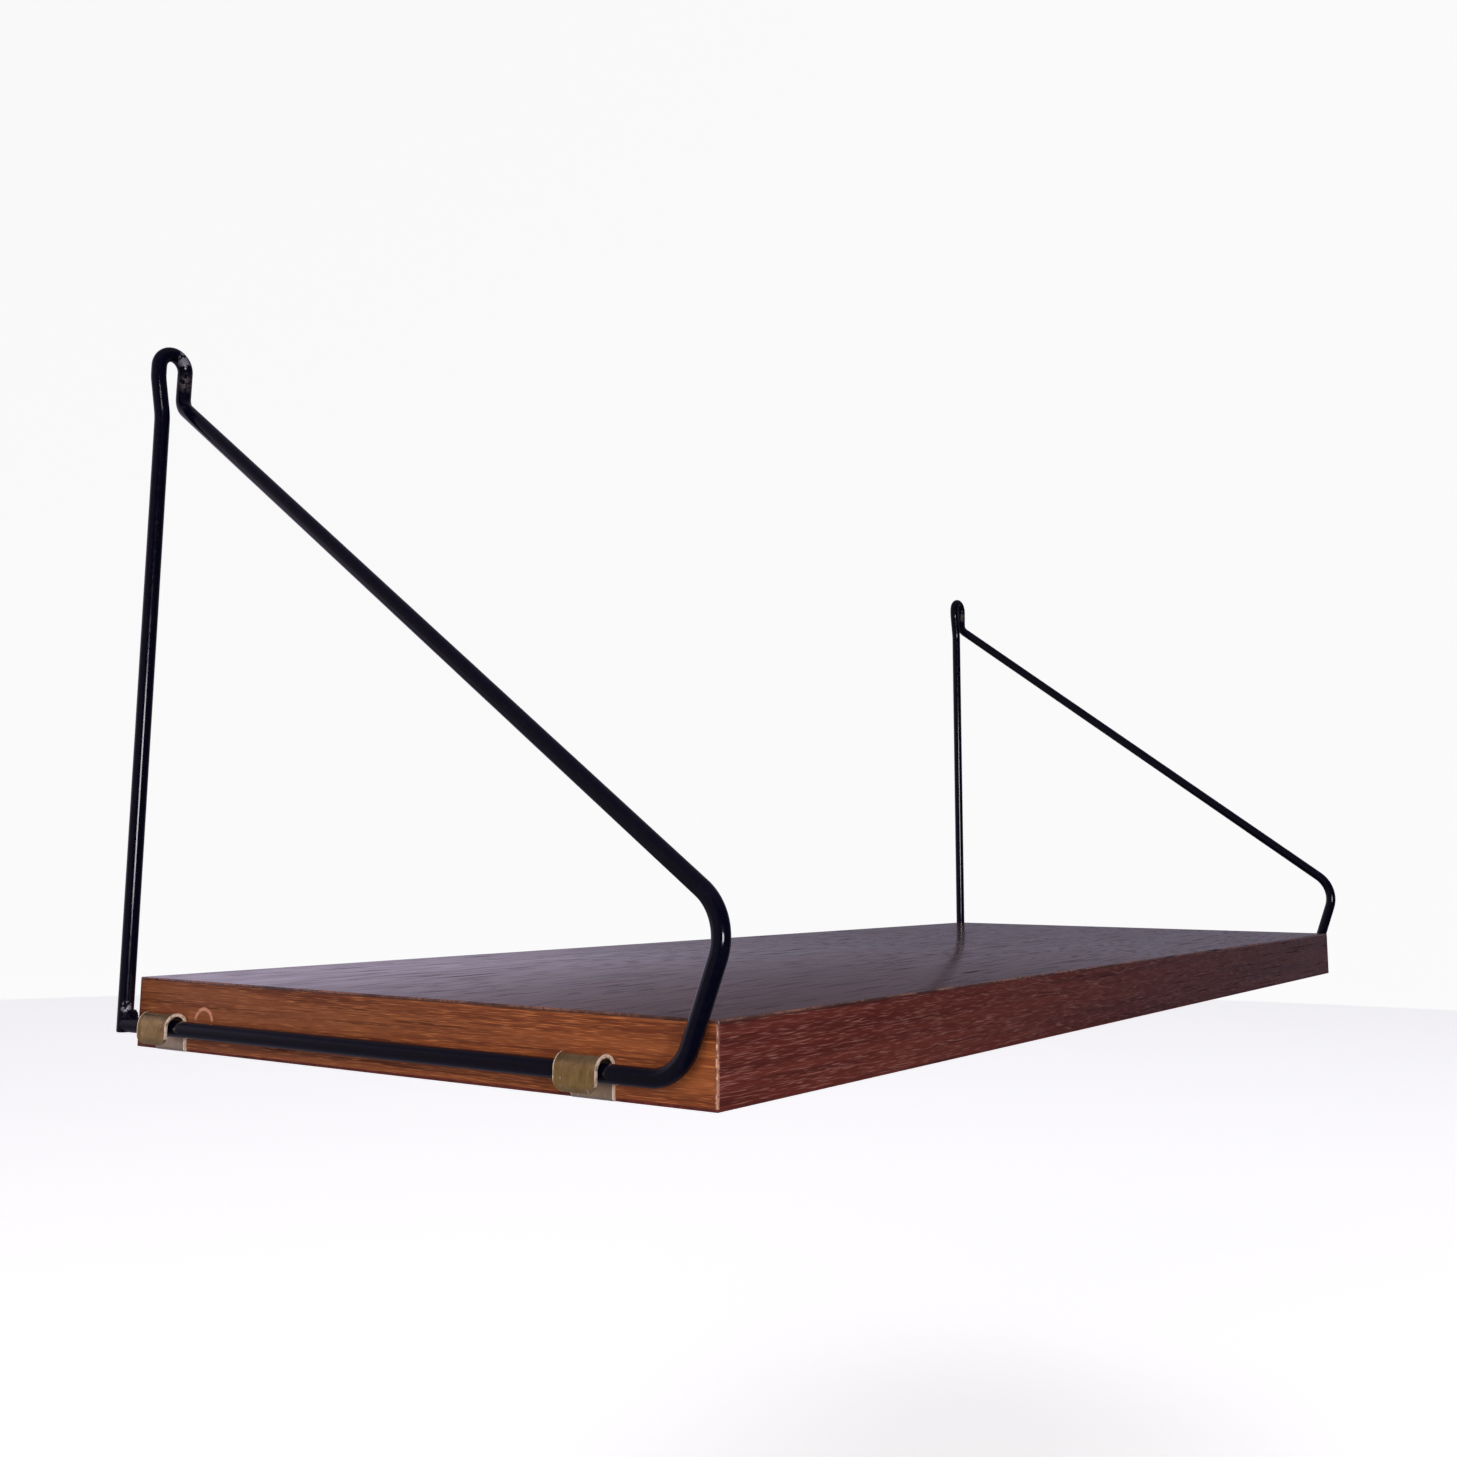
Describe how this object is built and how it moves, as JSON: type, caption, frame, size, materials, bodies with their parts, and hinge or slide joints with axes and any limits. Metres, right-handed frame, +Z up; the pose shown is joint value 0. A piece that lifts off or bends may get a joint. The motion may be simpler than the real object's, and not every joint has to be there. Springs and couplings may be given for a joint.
{
  "type": "wall shelf with brackets",
  "caption": "Wooden wall shelf hung from bent-wire end brackets that swivel in sheet-brass clips under its ends.",
  "frame": {"origin": "on the wall plane, midway between the two bracket eyes, at the height where the wall pins bear", "axes": "+X along the board, +Y into the wall (the board's front edge faces -Y), +Z up"},
  "size_m": [0.6229, 0.2321, 0.2306],
  "materials": {
    "teak_face": "oiled, satin",
    "teak_edge": "oiled, satin",
    "board_core": "raw particle board",
    "black_lacquer": "gloss, worn",
    "brass": "aged satin",
    "steel": "dull zinc"
  },
  "bodies": {
    "shelf": {"top_veneer": "teak_face", "bottom_veneer": "teak_face", "front_edge_band": "teak_edge", "back_edge_band": "teak_edge", "left_end_band": "teak_edge", "right_end_band": "teak_edge", "board_core": "board_core", "left_front_clip": "brass", "left_rear_clip": "brass", "right_front_clip": "brass", "right_rear_clip": "brass", "left_front_clip_outer_screw": "steel", "left_front_clip_inner_screw": "steel", "left_rear_clip_outer_screw": "steel", "left_rear_clip_inner_screw": "steel", "right_front_clip_outer_screw": "steel", "right_front_clip_inner_screw": "steel", "right_rear_clip_outer_screw": "steel", "right_rear_clip_inner_screw": "steel"},
    "left_bracket": {"left_bracket_wire": "black_lacquer"},
    "right_bracket": {"right_bracket_wire": "black_lacquer"}
  },
  "joints": [
    {"name": "left_bracket_swing", "type": "hinge", "parent": "shelf", "child": "left_bracket", "pos_m": [-0.3038, -0.116, -0.21845], "axis": [0, -1, 0], "range_deg": [0, 180]},
    {"name": "right_bracket_swing", "type": "hinge", "parent": "shelf", "child": "right_bracket", "pos_m": [0.3038, -0.116, -0.21845], "axis": [0, 1, 0], "range_deg": [0, 180]}
  ]
}
